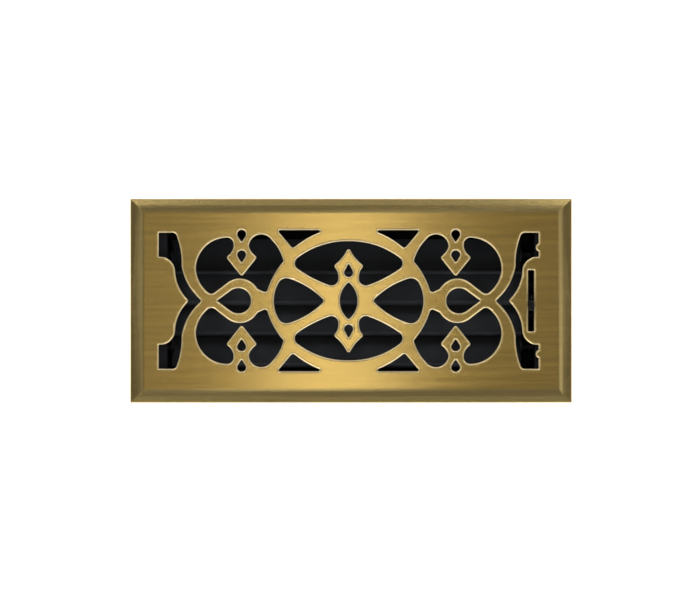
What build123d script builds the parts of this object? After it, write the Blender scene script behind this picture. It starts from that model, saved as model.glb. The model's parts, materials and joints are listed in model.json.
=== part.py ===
"""Louvred floor register: a pressed scrollwork face grille over a sheet-steel damper box with linked blades.

Frame: origin at the middle of the damper box's bottom edge, +X along the length towards the control lever,
+Y across the width, +Z up through the face. Millimetres and degrees.
"""

import os
from math import cos, radians, sin

from build123d import *

# ---------------------------------------------------------------- driving dimensions
PLATE_LENGTH = 292.1
PLATE_WIDTH = 135.0
PLATE_RISE = 5.6  # floor line to top face
PLATE_SHEET = 2.0
RIM_HEIGHT = 2.2  # upright outer edge, under the slope
FLANK_WIDTH = 6.8  # plan width of the slope between rim and top face
RIM_SOFTENING = 1.2
FLANK_SOFTENING = 12.0
SEAT_WIDTH = 3.0  # ring of the underside that rests on the floor
SEAT_SLOPE = 7.2  # plan width of the hollow's slope, from the outer edge
OPENING_ROUND = 1.2  # rolled top edge of every opening
METAL_TIP = 1.5  # plan rounding of every point of metal
DROP_POINT_R = 0.6
PATTERN_SHIFT = -1.6  # the scrollwork sits off centre, away from the lever

SLOT_X = 118.9
SLOT_WIDTH = 4.0
SLOT_LENGTH = 40.6
SLOT_CORNER = 0.8

BOX_LENGTH = 245.0  # over the end plates
BOX_WIDTH = 95.0  # over the side rails
BOX_DEPTH = 38.0  # bottom edge to the floor line, where the face grille's rim rests
SHEET = 1.0
RETURN_FLANGE = 9.0  # turned in along the bottom edge
TOP_FLANGE = 7.0  # turned out under the face at each end
CORNER_LAP = 10.0  # end plate's flange along the outside of each rail
RIVET_R = 1.2
RIVET_HEAD_R = 2.2

TAB_X = 85.0  # fixing tabs, from the middle of the rail
TAB_WIDTH = 14.0
TAB_REACH = 9.0
STUD_OFFSET = 4.8  # stud axis outside the rail's outer face
STUD_R = 1.5
STUD_FIT = 0.2
STUD_CHAMFER = 0.3
STUD_SHORT_OF_FLOOR = 0.2
NUT_FLATS = 5.5
NUT_HEIGHT = 2.2

BLADE_COUNT = 4
BLADE_PITCH = 20.9
BLADE_SHEET = 0.8
BLADE_LEFT = -119.5
BLADE_RIGHT = 113.5
BLADE_LIP_SIDE = 11.8  # from the pivot's foot to the rolled edge
BLADE_PLAIN_SIDE = 10.2  # and to the plain edge
LIP_R = 1.7  # outside of the rolled edge
PIVOT_RISE = 3.0  # pivot axis above the middle of the blade's sheet
EAR_WIDTH = 9.0

PIVOT_Z = 22.0
PIVOT_R = 1.6
CRANK_R = 9.0  # pivot to link pin, on every crank and on the lever
CRANK_SHEET = 1.0
CRANK_HUB_R = 4.0
CRANK_EYE_R = 3.0
LINK_SHEET = 1.2
LINK_HEIGHT = 7.0
LINK_GAP = 0.8  # between the cranks and the link bar
LINK_X = BLADE_RIGHT + CRANK_SHEET + LINK_GAP
LINK_PIN_R = 1.5
COLLAR_R = 2.2  # collar and heads of every link pin
RUNNING_FIT = 0.05  # radial clearance of everything that turns
SIDE_GAP = 0.1  # beside everything that turns
HEAD = 0.6  # thickness of a small rivet head
PIN_SOFTENING = 0.25
PIVOT_HEAD_R = 2.4

BLADE_TILT = 8.0  # from flat, rolled edge raised: the rest pose, nearly shut
LEVER_LEAN = 7.0  # lever from upright towards -Y, at rest
LEVER_SHEET = 2.0
LEVER_WIDTH = 4.4
LEVER_HUB_R = 5.0
LEVER_EYE_R = 3.2
LEVER_REACH = 27.5
LEVER_PIVOT_R = 2.0
LEVER_HEAD_R = 3.6
CAP_WIDTH = 6.4
CAP_THICKNESS = 3.2
CAP_LENGTH = 6.5
CAP_OVERHANG = 1.0  # plastic beyond the lever's tip
CAP_CORNER = 1.2
WASHER_R = 5.0
WASHER_SHEET = 0.4  # measured along its axis, at the outer edge
WASHER_EDGE = 0.7  # width of the ring that bears on the end plate
WASHER_BORE_R = 2.1

FLOOR_Z = BOX_DEPTH
TOP_Z = FLOOR_Z + PLATE_RISE
UNDER_Z = TOP_Z - PLATE_SHEET
RAIL_Y = BOX_WIDTH / 2
END_X = BOX_LENGTH / 2
LEVER_X = SLOT_X - LEVER_SHEET / 2
BLADE_Y = [BLADE_PITCH * (index - (BLADE_COUNT - 1) / 2) for index in range(BLADE_COUNT)]
PIN_DY = CRANK_R * sin(radians(LEVER_LEAN))
PIN_Z = PIVOT_Z - CRANK_R * cos(radians(LEVER_LEAN))

os.makedirs("parts", exist_ok=True)


def save(name, label):
    """Label a finished piece and write it."""
    name.part.label = label
    export_step(name.part, f"parts/{label}.step")


def near(sketch, *points):
    """The vertices of the sketch that lie nearest to those points."""
    return [sketch.vertices().sort_by_distance((x, y, 0))[0] for x, y in points]


def top_face(piece):
    """The highest level face of a piece."""
    return piece.faces().filter_by(Plane.XY).sort_by(Axis.Z)[-1]


def drop(radius, reach, angle=90):
    """A round hole at the origin, drawn out to a soft point at that reach and angle."""
    with BuildSketch() as sketch:
        Circle(radius)
        with PolarLocations(reach - DROP_POINT_R, 1, angle):
            Circle(DROP_POINT_R)
        make_hull()
    return sketch.sketch


def square_to_x(x, y, turn, z=PIVOT_Z):
    """The plane square to X at a pivot, turned about X by that angle: local x runs across, local y up."""
    return Plane(origin=(x, y, z), x_dir=(0, cos(radians(turn)), sin(radians(turn))), z_dir=(1, 0, 0))


def turned(x, y, z, *steps):
    """A pin along +X from that point, as steps of (radius, length), its first and last edges softened."""
    with BuildPart() as pin:
        for radius, length in steps:
            with BuildSketch(square_to_x(x, y, 0, z)):
                Circle(radius)
            extrude(amount=length)
            x += length
        ends = pin.edges().filter_by(GeomType.CIRCLE).group_by(Axis.X)
        fillet(ends[0] + ends[-1], PIN_SOFTENING)
    return pin.part


# ---------------------------------------------------------------- scrollwork openings
# The pointed oval in the middle.
with BuildSketch() as vesica:
    with BuildLine():
        ThreePointArc((0, -12.3), (5.8, 0), (0, 12.3))
        mirror(about=Plane.YZ)
    make_face()
    fillet(vesica.vertices(), 0.8)

# The upper lens, with the finial standing in it.
with BuildSketch() as lens:
    with BuildLine():
        crown = ThreePointArc((0, 39.4), (20.0, 36.0), (38.2, 24.6))
        sill = ThreePointArc(crown @ 1, (25.0, 15.7), (6.8, 8.4))
        neck = Line(sill @ 1, (6.8, 16.4))
        throat = ThreePointArc(neck @ 1, (7.6, 19.6), (10.2, 23.0))
        ThreePointArc(throat @ 1, (4.8, 27.9), (0, 36.2))
        mirror(about=Plane.YZ)
    make_face()
    fillet(near(lens, (38.2, 24.6), (-38.2, 24.6)), 4.5)
    fillet(near(lens, (6.8, 8.4), (-6.8, 8.4)), 4.6)
    fillet(near(lens, (10.2, 23.0), (-10.2, 23.0), (0, 36.2)), METAL_TIP)

# The lobe between the crossing bands.
with BuildSketch() as lobe:
    with BuildLine():
        outer = ThreePointArc((43.6, -15.8), (49.4, 0), (43.6, 15.8))
        upper = ThreePointArc(outer @ 1, (29.0, 10.2), (16.0, 0))
        mirror(upper, about=Plane.XZ)
    make_face()
    fillet(near(lobe, (43.6, 15.8), (43.6, -15.8)), 6.0)
    fillet(near(lobe, (16.0, 0)), 1.8)

# The three-cornered opening at each shoulder of the oval.
with BuildSketch() as spandrel:
    with BuildLine():
        band = ThreePointArc((14.6, 46.7), (27.0, 41.5), (36.9, 34.5))
        side = Line(band @ 1, (47.2, 46.7))
        Line(side @ 1, band @ 0)
    make_face()
    fillet(near(spandrel, (14.6, 46.7), (47.2, 46.7)), 0.9)
    fillet(near(spandrel, (36.9, 34.5)), 1.6)

# One medallion: two lobes that meet under the spade hanging between them.
SPADE_X = 70.7
SPADE_HALF = 10.4
with BuildSketch() as medallion:
    with BuildLine():
        lip = Line((76.0, 35.8), (76.0, 41.4))
        great = ThreePointArc(lip @ 1, (93.4, 37.0), (101.0, 20.8))
        heel = ThreePointArc(great @ 1, (98.0, 11.4), (90.6, 3.8))
        ramp = Line(heel @ 1, (80.6, 11.5))
        ring = ThreePointArc(ramp @ 1, (71.0, 14.6), (60.2, 7.8))
        ledge = Line(ring @ 1, (54.2, 5.0))
        oval = ThreePointArc(ledge @ 1, (50.2, 15.6), (43.0, 26.2))
        rise = ThreePointArc(oval @ 1, (45.8, 33.4), (51.0, 40.4))
        small = ThreePointArc(rise @ 1, (62.0, 42.7), (66.0, 36.0))
        hip = ThreePointArc(small @ 1, (64.3, 32.4), (SPADE_X - SPADE_HALF, 28.9))
        left = Line(hip @ 1, (SPADE_X, 15.8))
        right = Line(left @ 1, (SPADE_X + SPADE_HALF, 28.9))
        ThreePointArc(right @ 1, (77.4, 32.2), lip @ 0)
    make_face()
    fillet(near(medallion, (76.0, 41.4)), 4.5)
    fillet(near(medallion, (51.0, 40.4), (90.6, 3.8)), 3.5)
    fillet(near(medallion, (66.0, 36.0), (76.0, 35.8)), 3.0)
    fillet(near(medallion, (101.0, 20.8)), 12.0)
    fillet(near(medallion, (54.2, 5.0), (60.2, 7.8)), 2.0)
    fillet(near(medallion, (43.0, 26.2)), 1.2)
    fillet(near(medallion, (60.3, 28.9), (81.1, 28.9), (SPADE_X, 15.8)), METAL_TIP)

# The brace-shaped opening at each end.
with BuildSketch() as brace:
    with BuildLine():
        edge = Line((125.5, 28.9), (125.5, 45.0))
        top = Line(edge @ 1, (114.4, 45.0))
        flank = ThreePointArc(top @ 1, (111.4, 35.6), (110.3, 23.0))
        keel = ThreePointArc(flank @ 1, (107.2, 13.0), (97.0, 0))
        hollow = ThreePointArc(edge @ 0, (118.0, 26.6), (114.7, 20.0))
        ThreePointArc(hollow @ 1, (112.6, 10.2), (105.4, 0))
        mirror(about=Plane.XZ)
    make_face()
    fillet(near(brace, (125.5, 45.0), (125.5, -45.0), (125.5, 28.9), (125.5, -28.9)), 0.6)
    fillet(near(brace, (114.4, 45.0), (114.4, -45.0)), 3.0)
    fillet(near(brace, (110.3, 23.0), (110.3, -23.0)), 8.0)
    fillet(near(brace, (97.0, 0)), 1.2)
    fillet(near(brace, (105.4, 0)), METAL_TIP)

# A small cusp of metal stands in each half of the brace at the lever's end.
NIB = (126.4, 35.2)
NIB_R = 2.8

# The whole pattern, about its own centre.
with BuildSketch() as pattern:
    add(vesica.sketch)
    for turn in (0, 180):
        with Locations(Rotation(0, 0, turn)):
            add(lens.sketch)
            add(lobe.sketch)
            add(brace.sketch)
            with Locations((0, 18.6)):
                add(drop(2.9, 5.6))
            with Locations((72.9, 0)):
                add(drop(8.4, 13.7, 0))
            with Locations((SPADE_X, 44.0), (SPADE_X, 30.4)):
                add(drop(2.9, 4.9, -90))
            with Locations((-SPADE_X, 44.0), (-SPADE_X, 30.4)):
                add(drop(2.9, 4.9, -90))
            add(spandrel.sketch)
            add(medallion.sketch)
            add(mirror(spandrel.sketch, about=Plane.YZ, mode=Mode.PRIVATE))
            add(mirror(medallion.sketch, about=Plane.YZ, mode=Mode.PRIVATE))
    with Locations(NIB, (NIB[0], -NIB[1])):
        Circle(NIB_R, mode=Mode.SUBTRACT)

# ---------------------------------------------------------------- face grille
with BuildPart() as face_grille:
    with BuildSketch(Plane.XY.offset(FLOOR_Z)):
        Rectangle(PLATE_LENGTH, PLATE_WIDTH)
    extrude(amount=RIM_HEIGHT)
    for level, inset in ((FLOOR_Z + RIM_HEIGHT, 0), (TOP_Z, FLANK_WIDTH)):
        with BuildSketch(Plane.XY.offset(level)):
            Rectangle(PLATE_LENGTH - 2 * inset, PLATE_WIDTH - 2 * inset)
    loft()
    fillet(top_face(face_grille).edges(), FLANK_SOFTENING)
    rim_level = FLOOR_Z + RIM_HEIGHT
    fillet(face_grille.edges().filter_by_position(Axis.Z, rim_level - 0.01, rim_level + 0.01), RIM_SOFTENING)
    for level, inset in ((FLOOR_Z, SEAT_WIDTH), (UNDER_Z, SEAT_SLOPE)):
        with BuildSketch(Plane.XY.offset(level)):
            Rectangle(PLATE_LENGTH - 2 * inset, PLATE_WIDTH - 2 * inset)
    loft(mode=Mode.SUBTRACT)
    with BuildSketch(Plane.XY.offset(UNDER_Z)):
        with Locations((PATTERN_SHIFT, 0)):
            add(pattern.sketch)
        with Locations((SLOT_X, 0)):
            RectangleRounded(SLOT_WIDTH, SLOT_LENGTH, SLOT_CORNER)
    extrude(amount=PLATE_SHEET, mode=Mode.SUBTRACT)
    for middle in [rim.center() for rim in top_face(face_grille).inner_wires()]:
        rims = top_face(face_grille).inner_wires()
        nearest = min(rims, key=lambda rim: (rim.center() - middle).length)
        fillet(nearest.edges(), OPENING_ROUND)
save(face_grille, "face_grille")


# ---------------------------------------------------------------- fixing studs and nuts
STUD_PLACES = [(x, y) for x in (-TAB_X, TAB_X) for y in (-RAIL_Y - STUD_OFFSET, RAIL_Y + STUD_OFFSET)]
TAB_UNDER = UNDER_Z - SHEET

with BuildPart() as face_studs:
    with BuildSketch(Plane.XY.offset(UNDER_Z)):
        with Locations(*STUD_PLACES):
            Circle(STUD_R)
    extrude(amount=-(PLATE_RISE - PLATE_SHEET - STUD_SHORT_OF_FLOOR))
    chamfer(face_studs.edges().group_by(Axis.Z)[0], STUD_CHAMFER)
save(face_studs, "face_studs")

with BuildPart() as stud_nuts:
    with BuildSketch(Plane.XY.offset(TAB_UNDER)):
        with Locations(*STUD_PLACES):
            RegularPolygon(NUT_FLATS / 2, 6, major_radius=False)
            Circle(STUD_R, mode=Mode.SUBTRACT)
    extrude(amount=-NUT_HEIGHT)
save(stud_nuts, "stud_nuts")

# ---------------------------------------------------------------- damper box
RIVET_X = END_X - SHEET - CORNER_LAP / 2
RIVET_Z = (8.0, 32.0)


def side_rail(side):
    """One long wall, its bottom edge turned in and two fixing tabs turned out under the face."""
    inner_y = side * (RAIL_Y - SHEET)
    with BuildPart() as rail:
        with BuildSketch(Plane.XY):
            with Locations((0, side * (RAIL_Y - SHEET / 2))):
                Rectangle(BOX_LENGTH - 2 * SHEET, SHEET)
        extrude(amount=UNDER_Z)
        with BuildSketch(Plane.XY):
            with Locations((0, inner_y - side * RETURN_FLANGE / 2)):
                Rectangle(BOX_LENGTH - 2 * SHEET - 2 * RETURN_FLANGE, RETURN_FLANGE)
        extrude(amount=SHEET)
        with BuildSketch(Plane.XY.offset(TAB_UNDER)):
            with Locations(*[(x, side * (RAIL_Y + TAB_REACH / 2)) for x in (-TAB_X, TAB_X)]):
                Rectangle(TAB_WIDTH, TAB_REACH)
            with Locations(*STUD_PLACES):
                Circle(STUD_R + STUD_FIT, mode=Mode.SUBTRACT)
        extrude(amount=SHEET)
        with BuildSketch(Plane.XZ):
            with Locations(*[(x, z) for x in (-RIVET_X, RIVET_X) for z in RIVET_Z]):
                Circle(RIVET_R)
        extrude(amount=-side * BOX_WIDTH, mode=Mode.SUBTRACT)
    return rail


side_rail_front = side_rail(-1)
side_rail_back = side_rail(1)
save(side_rail_front, "side_rail_front")
save(side_rail_back, "side_rail_back")


def end_plate(side, holes):
    """One short wall, lapping the rails outside each corner, with its pivot holes as (y, z, radius)."""
    start = min(side * END_X, side * (END_X - SHEET))
    with BuildPart() as plate:
        with BuildSketch(square_to_x(start, 0, 0, UNDER_Z / 2)):
            Rectangle(BOX_WIDTH + 2 * SHEET, UNDER_Z)
        extrude(amount=SHEET)
        with BuildSketch(Plane.XY):
            with Locations((side * RIVET_X, -RAIL_Y - SHEET / 2), (side * RIVET_X, RAIL_Y + SHEET / 2)):
                Rectangle(CORNER_LAP, SHEET)
        extrude(amount=UNDER_Z)
        with BuildSketch(Plane.XY):
            with Locations((side * (END_X - SHEET - RETURN_FLANGE / 2), 0)):
                Rectangle(RETURN_FLANGE, BOX_WIDTH - 2 * SHEET)
        extrude(amount=SHEET)
        with BuildSketch(Plane.XY.offset(TAB_UNDER)):
            with Locations((side * (END_X + TOP_FLANGE / 2), 0)):
                Rectangle(TOP_FLANGE, BOX_WIDTH - 2 * SHEET)
        extrude(amount=SHEET)
        for y, z, radius in holes:
            with BuildSketch(square_to_x(start, y, 0, z)):
                Circle(radius)
            extrude(amount=SHEET, mode=Mode.SUBTRACT)
        with BuildSketch(Plane.XZ):
            with Locations(*[(side * RIVET_X, z) for z in RIVET_Z]):
                Circle(RIVET_R)
        extrude(amount=BOX_WIDTH, both=True, mode=Mode.SUBTRACT)
    return plate


BLADE_HOLES = [(y, PIVOT_Z, PIVOT_R + RUNNING_FIT) for y in BLADE_Y]
end_plate_left = end_plate(-1, BLADE_HOLES)
end_plate_right = end_plate(1, BLADE_HOLES + [(0, PIVOT_Z, LEVER_PIVOT_R)])
save(end_plate_left, "end_plate_left")
save(end_plate_right, "end_plate_right")

with BuildPart() as corner_rivets:
    for side in (-1, 1):
        for reach, radius, length in (
            (RAIL_Y - SHEET - HEAD, RIVET_HEAD_R, HEAD),
            (RAIL_Y - SHEET, RIVET_R, 2 * SHEET),
            (RAIL_Y + SHEET, RIVET_HEAD_R, HEAD),
        ):
            with BuildSketch(Plane.XZ.offset(-side * reach)):
                with Locations(*[(x, z) for x in (-RIVET_X, RIVET_X) for z in RIVET_Z]):
                    Circle(radius)
            extrude(amount=-side * length)
save(corner_rivets, "corner_rivets")

# ---------------------------------------------------------------- louvre blades
EAR_X = (BLADE_LEFT, BLADE_RIGHT - BLADE_SHEET)


def louvre_blade(y):
    """A blade with its roll along the raised edge, and an ear turned up at each end to carry its pivot."""
    middle = (BLADE_PLAIN_SIDE - BLADE_LIP_SIDE) / 2
    with BuildPart() as blade:
        with BuildSketch(square_to_x(BLADE_LEFT, y, -BLADE_TILT)):
            with Locations((middle, -PIVOT_RISE)):
                Rectangle(BLADE_PLAIN_SIDE + BLADE_LIP_SIDE, BLADE_SHEET)
            with Locations((-BLADE_LIP_SIDE, LIP_R - PIVOT_RISE - BLADE_SHEET / 2)):
                Circle(LIP_R)
                Circle(LIP_R - BLADE_SHEET, mode=Mode.SUBTRACT)
        extrude(amount=BLADE_RIGHT - BLADE_LEFT)
        for x in EAR_X:
            with BuildSketch(square_to_x(x, y, -BLADE_TILT)):
                Circle(EAR_WIDTH / 2)
                with Locations((0, -PIVOT_RISE / 2)):
                    Rectangle(EAR_WIDTH, PIVOT_RISE)
                Circle(PIVOT_R, mode=Mode.SUBTRACT)
            extrude(amount=BLADE_SHEET)
    return blade


def crank_arm(y):
    """A flat arm lying against the blade's right ear, its link hole a crank's radius below the pivot."""
    with BuildPart() as crank:
        with BuildSketch(square_to_x(BLADE_RIGHT, y, LEVER_LEAN)):
            Circle(CRANK_HUB_R)
            with Locations((0, -CRANK_R)):
                Circle(CRANK_EYE_R)
            make_hull()
            Circle(PIVOT_R, mode=Mode.SUBTRACT)
            with Locations((0, -CRANK_R)):
                Circle(LINK_PIN_R + RUNNING_FIT, mode=Mode.SUBTRACT)
        extrude(amount=CRANK_SHEET)
    return crank


def pivot_pins(y):
    """The two shouldered pivots of one blade, riveted through its ears and headed outside the end plates."""
    left_gap = BLADE_LEFT + END_X - SHEET
    right_gap = END_X - SHEET - BLADE_RIGHT - CRANK_SHEET
    journal = SHEET + 2 * SIDE_GAP
    left = turned(
        -END_X - SIDE_GAP - HEAD, y, PIVOT_Z,
        (PIVOT_HEAD_R, HEAD), (PIVOT_R, journal), (PIVOT_HEAD_R, left_gap - SIDE_GAP),
        (PIVOT_R, BLADE_SHEET), (PIVOT_HEAD_R, HEAD),
    )
    right = turned(
        BLADE_RIGHT - BLADE_SHEET - HEAD, y, PIVOT_Z,
        (PIVOT_HEAD_R, HEAD), (PIVOT_R, BLADE_SHEET + CRANK_SHEET), (PIVOT_HEAD_R, right_gap - SIDE_GAP),
        (PIVOT_R, journal), (PIVOT_HEAD_R, HEAD),
    )
    with BuildPart() as pins:
        add([left, right])
    return pins


for number, blade_y in enumerate(BLADE_Y, start=1):
    save(louvre_blade(blade_y), f"louvre_blade_{number}")
    save(crank_arm(blade_y), f"crank_arm_{number}")
    save(pivot_pins(blade_y), f"pivot_pins_{number}")

# ---------------------------------------------------------------- link bar
with BuildPart() as link_bar:
    with BuildSketch(square_to_x(LINK_X, PIN_DY, 0, PIN_Z)):
        SlotCenterToCenter(BLADE_Y[-1] - BLADE_Y[0], LINK_HEIGHT)
        with Locations(*[(y, 0) for y in BLADE_Y]):
            Circle(LINK_PIN_R, mode=Mode.SUBTRACT)
        Circle(LINK_PIN_R + RUNNING_FIT, mode=Mode.SUBTRACT)
    extrude(amount=LINK_SHEET)
save(link_bar, "link_bar")

with BuildPart() as link_pins:
    for y in BLADE_Y:
        add(
            turned(
                BLADE_RIGHT - SIDE_GAP - HEAD, y + PIN_DY, PIN_Z,
                (COLLAR_R, HEAD), (LINK_PIN_R, CRANK_SHEET + 2 * SIDE_GAP),
                (COLLAR_R, LINK_X - BLADE_RIGHT - CRANK_SHEET - SIDE_GAP),
                (LINK_PIN_R, LINK_SHEET), (COLLAR_R, HEAD),
            )
        )
save(link_pins, "link_pins")

# ---------------------------------------------------------------- control lever
with BuildPart() as control_lever:
    with BuildSketch(square_to_x(LEVER_X, 0, LEVER_LEAN)):
        Circle(LEVER_HUB_R)
        with Locations((0, -CRANK_R)):
            Circle(LEVER_EYE_R)
        make_hull()
        with Locations((0, LEVER_REACH / 2)):
            Rectangle(LEVER_WIDTH, LEVER_REACH)
        Circle(LEVER_PIVOT_R + RUNNING_FIT, mode=Mode.SUBTRACT)
        with Locations((0, -CRANK_R)):
            Circle(LINK_PIN_R, mode=Mode.SUBTRACT)
    extrude(amount=LEVER_SHEET)
save(control_lever, "control_lever")

with BuildPart() as lever_cap:
    with BuildSketch(square_to_x(SLOT_X - CAP_THICKNESS / 2, 0, LEVER_LEAN)):
        with Locations((0, LEVER_REACH + CAP_OVERHANG - CAP_LENGTH / 2)):
            RectangleRounded(CAP_WIDTH, CAP_LENGTH, CAP_CORNER)
    extrude(amount=CAP_THICKNESS)
    with BuildSketch(square_to_x(LEVER_X, 0, LEVER_LEAN)):
        with Locations((0, LEVER_REACH / 2)):
            Rectangle(LEVER_WIDTH, LEVER_REACH)
    extrude(amount=LEVER_SHEET, mode=Mode.SUBTRACT)
save(lever_cap, "lever_cap")

with BuildPart() as lever_link_pin:
    add(
        turned(
            LINK_X - SIDE_GAP - HEAD, PIN_DY, PIN_Z,
            (COLLAR_R, HEAD), (LINK_PIN_R, LINK_SHEET + 2 * SIDE_GAP),
            (COLLAR_R, LEVER_X - LINK_X - LINK_SHEET - SIDE_GAP),
            (LINK_PIN_R, LEVER_SHEET), (COLLAR_R, HEAD),
        )
    )
save(lever_link_pin, "lever_link_pin")

WASHER_START = LEVER_X + LEVER_SHEET + SIDE_GAP
with BuildPart() as lever_pivot:
    add(
        turned(
            LEVER_X - SIDE_GAP - HEAD, 0, PIVOT_Z,
            (LEVER_HEAD_R, HEAD), (LEVER_PIVOT_R, END_X + SIDE_GAP - LEVER_X), (LEVER_HEAD_R, HEAD),
        )
    )
save(lever_pivot, "lever_pivot")

with BuildPart() as friction_washer:
    with BuildSketch(Plane.XZ.shift_origin((0, 0, PIVOT_Z))):
        with BuildLine():
            Polyline(
                (END_X - SHEET, WASHER_BORE_R), (WASHER_START, WASHER_R),
                (WASHER_START + WASHER_SHEET, WASHER_R), (END_X - SHEET, WASHER_BORE_R + WASHER_EDGE),
                close=True,
            )
        make_face()
    revolve(axis=Axis((0, 0, PIVOT_Z), (1, 0, 0)))
save(friction_washer, "friction_washer")
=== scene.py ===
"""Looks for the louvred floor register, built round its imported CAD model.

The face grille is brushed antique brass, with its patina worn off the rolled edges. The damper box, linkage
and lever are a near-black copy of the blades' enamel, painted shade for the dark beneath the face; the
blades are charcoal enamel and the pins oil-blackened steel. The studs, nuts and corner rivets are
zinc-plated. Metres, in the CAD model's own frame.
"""

import json

import bpy
from mathutils import Matrix, Vector


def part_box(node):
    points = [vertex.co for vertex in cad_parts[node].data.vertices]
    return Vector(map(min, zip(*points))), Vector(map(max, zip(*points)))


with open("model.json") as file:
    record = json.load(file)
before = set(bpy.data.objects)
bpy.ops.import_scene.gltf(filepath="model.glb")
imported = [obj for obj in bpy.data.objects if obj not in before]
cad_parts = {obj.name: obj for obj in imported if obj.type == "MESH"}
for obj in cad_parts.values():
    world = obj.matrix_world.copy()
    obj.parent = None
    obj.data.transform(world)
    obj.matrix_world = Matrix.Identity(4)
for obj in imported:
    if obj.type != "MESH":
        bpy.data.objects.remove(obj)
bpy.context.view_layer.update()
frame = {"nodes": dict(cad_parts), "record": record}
scene = bpy.context.scene
nodes = frame["nodes"]
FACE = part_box("face_grille")
TOP = FACE[1][2]
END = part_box("end_plate_right")

# Noise mostly lies between these.
LOW, HIGH = 0.3, 0.7

# Depths of surface texture.
BRUSH_MARKS = 0.00002
BRUSH_WAVES = 0.00001
METAL_GRAIN = 0.00002
ORANGE_PEEL = 0.00003
SPARK_GRAIN = 0.00004

# Brass.
RIM_INNER = 0.013  # the scrollwork lies further than this inside the face's outline
RIM_BLEND = 0.003
EDGE_ROLL = (0.995, 0.80)  # upward part of the normal where a rolled edge starts and is full
EDGE_WEAR = (0.998, 0.94)  # agreement of the true and the rounded normal, likewise
EDGE_WEAR_REACH = 0.0018
# Painted sheen on the sloped outer border: where it starts and is full by the upward part of the normal, and
# its share.
FLANK_SLOPE = (0.9995, 0.994)
FLANK_SHEEN_SHARE = 0.6
BRUSHING_SPREAD = 0.9
BRUSHING_TURN = -0.015
BRASS_POLISH = (0.23, 0.25)
EDGE_DULLNESS = 0.22  # roughness added where an edge is worn
EDGE_METAL = 0.4  # metallic share left there

FLOOR_SIDE = 6.0
FLOOR_GREY = 0.95
FLOOR_GLOW = 0.56

# Name, middle, size along X and across, and watts of each light, in metres from the frame's origin.
SOFTBOXES = (
    ("overhead", (-0.025, -0.08, 2.2), (0.17, 0.5), 1.0),
    ("overhead_left", (-0.30, -0.08, 2.2), (0.34, 0.5), 0.20),
    ("back_left", (-1.3, 2.35, 1.25), (1.8, 1.1), 45),
    ("back_middle", (0.0, 2.7, 1.4), (1.4, 0.8), 2.0),
    ("back_right", (1.3, 2.35, 1.25), (1.8, 1.1), 45),
    ("front_left", (-1.5, -2.7, 0.8), (1.8, 1.2), 90),
    ("front_middle", (0.0, -3.0, 0.8), (1.4, 0.8), 3.6),
    ("front_right", (1.5, -2.7, 0.8), (1.8, 1.2), 90),
    ("overhead_right", (0.30, -0.08, 2.2), (0.34, 0.5), 0.08),
    ("right", (1.2, 0.0, 2.0), (1.0, 1.5), 1.3),
)
ROOM_COLOUR = (1.0, 0.95, 0.90, 1)
ROOM_STRENGTH = 0.14

IMAGE_WIDTH_AT_FACE = 0.4621
CAMERA_HEIGHT = 2.0
CAMERA_OFFSET = (-0.0007, 0.0005)
CAMERA_REACH = 20.0
SENSOR_WIDTH = 36.0  # millimetres, as the lens's focal length is


# ---------------------------------------------------------------- node helpers
class Nodes:
    """A small builder for one material's node tree."""

    def __init__(self, name):
        self.material = bpy.data.materials.new(name)
        self.material.use_nodes = True
        self.tree = self.material.node_tree
        self.bsdf = self.tree.nodes["Principled BSDF"]

    def add(self, kind, **settings):
        node = self.tree.nodes.new(kind)
        for key, value in settings.items():
            setattr(node, key, value)
        return node

    def link(self, source, target):
        self.tree.links.new(source, target)

    def place(self, scale=(1, 1, 1)):
        """Object coordinates, stretched by a scale."""
        where = self.add("ShaderNodeTexCoord")
        mapping = self.add("ShaderNodeMapping")
        mapping.inputs["Scale"].default_value = scale
        self.link(where.outputs["Object"], mapping.inputs["Vector"])
        return mapping.outputs["Vector"]

    def noise(self, scale, detail=3.0, roughness=0.5, stretch=(1, 1, 1)):
        """Noise over the object, from 0 to 1; scale counts features per metre."""
        node = self.add("ShaderNodeTexNoise")
        node.inputs["Scale"].default_value = scale
        node.inputs["Detail"].default_value = detail
        node.inputs["Roughness"].default_value = roughness
        self.link(self.place(stretch), node.inputs["Vector"])
        return node.outputs["Fac"]

    def ramp(self, value, *stops):
        """A colour ramp: each stop is (position, colour)."""
        node = self.add("ShaderNodeValToRGB")
        elements = node.color_ramp.elements
        while len(elements) < len(stops):
            elements.new(0.5)
        for element, (position, colour) in zip(elements, stops):
            element.position = position
            element.color = (*colour, 1.0)
        self.link(value, node.inputs["Fac"])
        return node.outputs["Color"]

    def mix(self, factor, first, second, blend="MIX"):
        """Two colours mixed by a factor: each input is a socket or a constant."""
        node = self.add("ShaderNodeMix", data_type="RGBA", blend_type=blend)
        inputs = node.inputs[0], node.inputs[6], node.inputs[7]
        for socket, value in zip(inputs, (factor, first, second)):
            if isinstance(value, bpy.types.NodeSocket):
                self.link(value, socket)
            elif isinstance(value, tuple):
                socket.default_value = (*value, 1.0)
            else:
                socket.default_value = value
        return node.outputs[2]

    def math(self, operation, first, second=0.0, third=0.0):
        node = self.add("ShaderNodeMath", operation=operation)
        for socket, value in zip(node.inputs, (first, second, third)):
            if isinstance(value, bpy.types.NodeSocket):
                self.link(value, socket)
            else:
                socket.default_value = value
        return node.outputs[0]

    def span(self, value, low, high, to_low=0.0, to_high=1.0):
        """A value rescaled from one range to another, clamped."""
        node = self.add("ShaderNodeMapRange")
        for index, number in enumerate((low, high, to_low, to_high), start=1):
            node.inputs[index].default_value = number
        self.link(value, node.inputs[0])
        return node.outputs[0]

    def bump(self, *layers):
        """Stacked bumps, each (height, depth in metres), into the shader's normal."""
        normal = None
        for height, depth in layers:
            node = self.add("ShaderNodeBump")
            node.inputs["Strength"].default_value = 1.0
            node.inputs["Distance"].default_value = depth
            self.link(height, node.inputs["Height"])
            if normal:
                self.link(normal, node.inputs["Normal"])
            normal = node.outputs["Normal"]
        self.link(normal, self.bsdf.inputs["Normal"])


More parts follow.
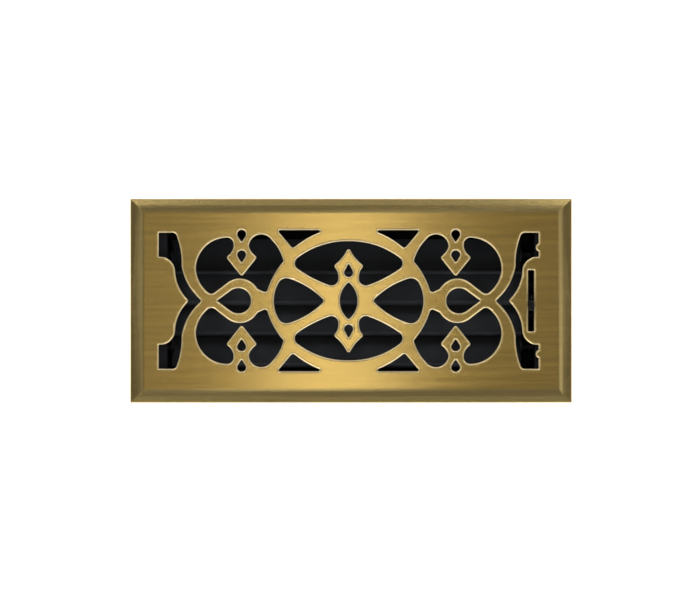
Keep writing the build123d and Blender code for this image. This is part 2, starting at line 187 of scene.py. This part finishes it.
# ---------------------------------------------------------------- materials
def antique_brass():
    """Brass brushed along its length, browned by patina, with the rolled edges rubbed bright; its sloped
    outer border is painted paler and greyer, a painted sheen.
    """
    m = Nodes("antique_brass")
    streak_fine = m.noise(1400, roughness=0.6, stretch=(0.02, 1, 1))
    streak_wide = m.noise(300, stretch=(0.05, 1, 1))
    warm = m.ramp(m.noise(9), (LOW, (0.69, 0.465, 0.132)), (HIGH, (0.745, 0.52, 0.155)))
    browned = m.mix(1.0, warm, (0.82, 0.81, 0.78), "MULTIPLY")
    streaked = m.mix(m.span(streak_wide, 0.35, 0.65), browned, warm)
    streaked = m.mix(m.span(streak_fine, LOW, HIGH, 0.0, 0.35), streaked, (0.55, 0.37, 0.11))

    where = m.add("ShaderNodeTexCoord")
    facing = m.add("ShaderNodeSeparateXYZ")
    m.link(where.outputs["Normal"], facing.inputs[0])
    place = m.add("ShaderNodeSeparateXYZ")
    m.link(where.outputs["Object"], place.inputs[0])
    inside = [
        m.span(
            m.math("ABSOLUTE", place.outputs[axis]),
            FACE[1][axis] - RIM_INNER + RIM_BLEND,
            FACE[1][axis] - RIM_INNER,
        )
        for axis in (0, 1)
    ]
    rounded = m.add("ShaderNodeBevel", samples=8)
    rounded.inputs["Radius"].default_value = EDGE_WEAR_REACH
    geometry = m.add("ShaderNodeNewGeometry")
    turned = m.add("ShaderNodeVectorMath", operation="DOT_PRODUCT")
    m.link(rounded.outputs["Normal"], turned.inputs[0])
    m.link(geometry.outputs["Normal"], turned.inputs[1])
    rolled = m.span(facing.outputs["Z"], *EDGE_ROLL)
    worn = m.span(turned.outputs["Value"], *EDGE_WEAR)
    edge = m.math("MAXIMUM", rolled, worn)
    relief = m.math("MULTIPLY", m.math("MULTIPLY", *inside), edge)
    # Painted sheen: the gently sloped outer border is painted paler and greyer in place of the lamps'
    # reflection on it.
    painted_flank_sheen = m.math("SUBTRACT", m.span(facing.outputs["Z"], *FLANK_SLOPE, 0.0, FLANK_SHEEN_SHARE), relief)

    bright = m.mix(relief, m.mix(painted_flank_sheen, streaked, (0.62, 0.51, 0.23)), (0.66, 0.54, 0.31))
    m.link(bright, m.bsdf.inputs["Base Color"])
    m.link(m.span(relief, 0.0, 1.0, 1.0, EDGE_METAL), m.bsdf.inputs["Metallic"])
    polish = m.span(streak_wide, LOW, HIGH, *BRASS_POLISH)
    m.link(m.math("MULTIPLY_ADD", relief, EDGE_DULLNESS, polish), m.bsdf.inputs["Roughness"])
    m.bsdf.inputs["Anisotropic"].default_value = BRUSHING_SPREAD
    m.bsdf.inputs["Anisotropic Rotation"].default_value = BRUSHING_TURN
    tangent = m.add("ShaderNodeTangent", direction_type="RADIAL", axis="X")
    m.link(tangent.outputs[0], m.bsdf.inputs["Tangent"])
    m.bump((streak_fine, BRUSH_MARKS), (streak_wide, BRUSH_WAVES))
    return m.material


def enamel(name, dark, light, gloss):
    """Matt enamel between two tones, with a faint orange peel in it."""
    m = Nodes(name)
    cloud = m.noise(35, 4)
    m.link(m.ramp(cloud, (LOW, dark), (HIGH, light)), m.bsdf.inputs["Base Color"])
    m.link(m.span(cloud, LOW, HIGH, 0.50, 0.60), m.bsdf.inputs["Roughness"])
    m.bsdf.inputs["Specular IOR Level"].default_value = gloss
    m.bump((m.noise(900, 2), ORANGE_PEEL))
    return m.material


def zinc_plate():
    """Bright zinc plating with spangled tone."""
    m = Nodes("zinc_plate")
    spangle = m.add("ShaderNodeTexVoronoi")
    spangle.inputs["Scale"].default_value = 700
    m.link(m.place(), spangle.inputs["Vector"])
    tone = m.ramp(spangle.outputs["Color"], (0.0, (0.42, 0.43, 0.45)), (1.0, (0.62, 0.63, 0.66)))
    m.link(tone, m.bsdf.inputs["Base Color"])
    m.bsdf.inputs["Metallic"].default_value = 1.0
    m.link(m.span(m.noise(400), LOW, HIGH, 0.28, 0.42), m.bsdf.inputs["Roughness"])
    m.bump((m.noise(1500, 2), METAL_GRAIN))
    return m.material


def blackened_steel():
    """Steel blackened in hot oil, thin where it rubs."""
    m = Nodes("blackened_steel")
    tone = m.ramp(m.noise(500), (LOW, (0.010, 0.010, 0.012)), (HIGH, (0.030, 0.030, 0.034)))
    m.link(tone, m.bsdf.inputs["Base Color"])
    m.bsdf.inputs["Metallic"].default_value = 1.0
    m.bsdf.inputs["Roughness"].default_value = 0.45
    m.bump((m.noise(1500, 2), METAL_GRAIN))
    return m.material


def spring_steel():
    """Blued spring steel."""
    m = Nodes("spring_steel")
    tone = m.ramp(m.noise(300), (LOW, (0.16, 0.17, 0.20)), (HIGH, (0.28, 0.28, 0.30)))
    m.link(tone, m.bsdf.inputs["Base Color"])
    m.bsdf.inputs["Metallic"].default_value = 1.0
    m.bsdf.inputs["Roughness"].default_value = 0.35
    m.bump((m.noise(1200, 2), METAL_GRAIN))
    return m.material


def black_plastic():
    """Moulded black plastic with a fine spark texture."""
    m = Nodes("black_plastic")
    grain = m.noise(2500, 2)
    tone = m.ramp(grain, (LOW, (0.004, 0.004, 0.005)), (HIGH, (0.008, 0.008, 0.009)))
    m.link(tone, m.bsdf.inputs["Base Color"])
    m.link(m.span(grain, LOW, HIGH, 0.42, 0.55), m.bsdf.inputs["Roughness"])
    m.bsdf.inputs["Specular IOR Level"].default_value = 0.1
    m.bump((grain, SPARK_GRAIN))
    return m.material


FINISHES = {
    "antique_brass": antique_brass(),
    # The box, linkage and lever take a near-black copy of the blades' enamel: painted shade for the dark
    # beneath the face.
    "black_steel": enamel("black_steel", (0.005, 0.005, 0.006), (0.009, 0.009, 0.011), 0.10),
    "blade_enamel": enamel("blade_enamel", (0.027, 0.030, 0.036), (0.040, 0.044, 0.051), 0.15),
    "zinc_steel": zinc_plate(),
    "blackened_steel": blackened_steel(),
    "spring_steel": spring_steel(),
    "black_plastic": black_plastic(),
}
for entry in frame["record"]["subparts"]:
    node = nodes[entry["node"]]
    node.data.materials.clear()
    node.data.materials.append(FINISHES[entry["material_slot"]])


# ---------------------------------------------------------------- floor and light
def floor():
    """A plain pale floor, softly lit from beneath everywhere but under the register."""
    bpy.ops.mesh.primitive_plane_add(size=FLOOR_SIDE, location=(0, 0, 0))
    plane = bpy.context.object
    plane.name = "floor"
    m = Nodes("floor")
    m.bsdf.inputs["Base Color"].default_value = (FLOOR_GREY, FLOOR_GREY, FLOOR_GREY, 1)
    m.bsdf.inputs["Roughness"].default_value = 0.9
    m.bsdf.inputs["Emission Color"].default_value = (1, 1, 1, 1)
    place = m.add("ShaderNodeSeparateXYZ")
    m.link(m.place(), place.inputs[0])
    outside = [
        m.math("GREATER_THAN", m.math("ABSOLUTE", place.outputs[axis]), END[1][axis])
        for axis in (0, 1)
    ]
    glow = m.math("MULTIPLY", m.math("MAXIMUM", *outside), FLOOR_GLOW)
    m.link(glow, m.bsdf.inputs["Emission Strength"])
    plane.data.materials.append(m.material)


def softbox(name, place, size, watts):
    """An area light that faces the middle of the register's face; size runs along X, then across."""
    light = bpy.data.lights.new(name, "AREA")
    light.shape = "RECTANGLE"
    light.size, light.size_y = size
    light.energy = watts
    lamp = bpy.data.objects.new(name, light)
    back = (Vector(place) - Vector((0, 0, TOP))).normalized()
    side = Vector((0, 1, 0)).cross(back).normalized()
    turn = Matrix((side, back.cross(side), back)).transposed().to_4x4()
    lamp.matrix_world = Matrix.Translation(place) @ turn
    scene.collection.objects.link(lamp)


floor()
for row in SOFTBOXES:
    softbox(*row)
world = bpy.data.worlds.new("studio")
world.use_nodes = True
world.node_tree.nodes["Background"].inputs["Color"].default_value = ROOM_COLOUR
world.node_tree.nodes["Background"].inputs["Strength"].default_value = ROOM_STRENGTH
scene.world = world

# ---------------------------------------------------------------- camera
lens = bpy.data.cameras.new("camera")
lens.sensor_width = SENSOR_WIDTH
lens.lens = lens.sensor_width * CAMERA_HEIGHT / IMAGE_WIDTH_AT_FACE
lens.clip_end = CAMERA_REACH
camera = bpy.data.objects.new("camera", lens)
camera.location = (CAMERA_OFFSET[0], CAMERA_OFFSET[1], TOP + CAMERA_HEIGHT)
scene.collection.objects.link(camera)
scene.camera = camera
scene.view_settings.view_transform = "Standard"
